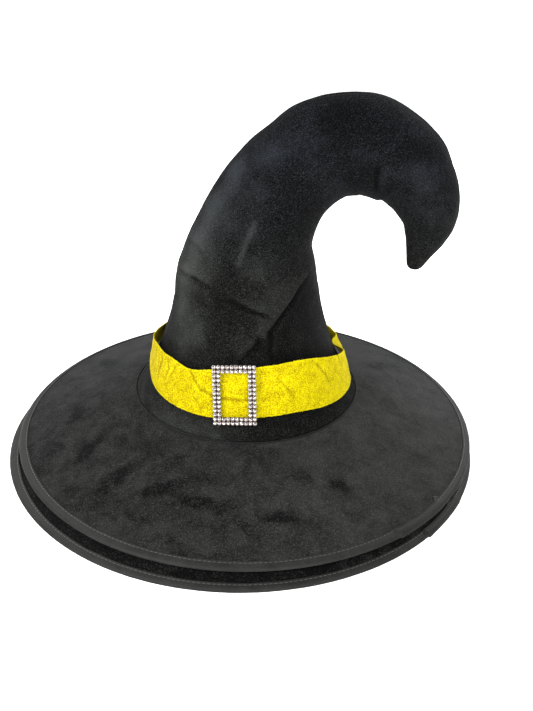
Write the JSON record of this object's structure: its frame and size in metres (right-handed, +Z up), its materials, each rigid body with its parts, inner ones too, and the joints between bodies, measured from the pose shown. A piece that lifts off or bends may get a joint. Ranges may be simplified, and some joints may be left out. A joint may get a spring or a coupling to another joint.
{
  "type": "witch hat",
  "caption": "Tall velvet witch hat with a curled-over stuffed crown, a stiff double brim, a loose cloth band and a stone-set slide buckle.",
  "frame": {"origin": "centre of the head opening, at the lower edge of the sweatband", "axes": "+Z up along the head opening's axis, -Y towards the front, where the buckle sits, and +X towards the side that the crown curls over to"},
  "size_m": [0.3869, 0.387, 0.284],
  "materials": {
    "crown_velvet": "crushed pile velvet",
    "brim_velvet": "crushed pile velvet",
    "lining": "plain woven polyester",
    "wadding": "loose polyester fibre",
    "ribbon": "grosgrain ribbon",
    "foam": "laminated open-cell foam",
    "backing": "non-woven backing",
    "wire": "drawn spring wire",
    "binding": "coated satin bias tape",
    "thread": "spun polyester thread",
    "band_velvet": "crushed pile velvet",
    "yellow_thread": "spun polyester thread",
    "silver_plate": "bright nickel plate",
    "glass_stone": "cut foil-backed glass"
  },
  "bodies": {
    "hat": {"crown_front_panel": "crown_velvet", "crown_back_panel": "crown_velvet", "crown_seam_thread": "thread", "crown_lining": "lining", "curl_wadding": "wadding", "sweatband": "ribbon", "opening_tape": "ribbon", "crown_brim_thread": "thread", "upper_brim_velvet": "brim_velvet", "upper_brim_foam": "foam", "upper_brim_backing": "backing", "upper_brim_hoop": "wire", "upper_brim_binding": "binding", "upper_binding_thread": "thread", "lower_brim_velvet": "brim_velvet", "lower_brim_foam": "foam", "lower_brim_backing": "backing", "lower_brim_hoop": "wire", "lower_brim_binding": "binding", "lower_binding_thread": "thread"},
    "band": {"hat_band": "band_velvet", "band_join_thread": "yellow_thread"},
    "buckle": {"buckle_frame": "silver_plate", "buckle_cups": "silver_plate", "buckle_stones": "glass_stone", "buckle_bar": "silver_plate"}
  },
  "joints": [
    {"name": "band_turn", "type": "hinge", "parent": "hat", "child": "band", "pos_m": [0, 0, 0], "axis": [0, 0, 1], "continuous": true},
    {"name": "buckle_slide", "type": "hinge", "parent": "band", "child": "buckle", "pos_m": [0, 0, 0], "axis": [0, 0, 1], "range_deg": [-240, 80]}
  ]
}
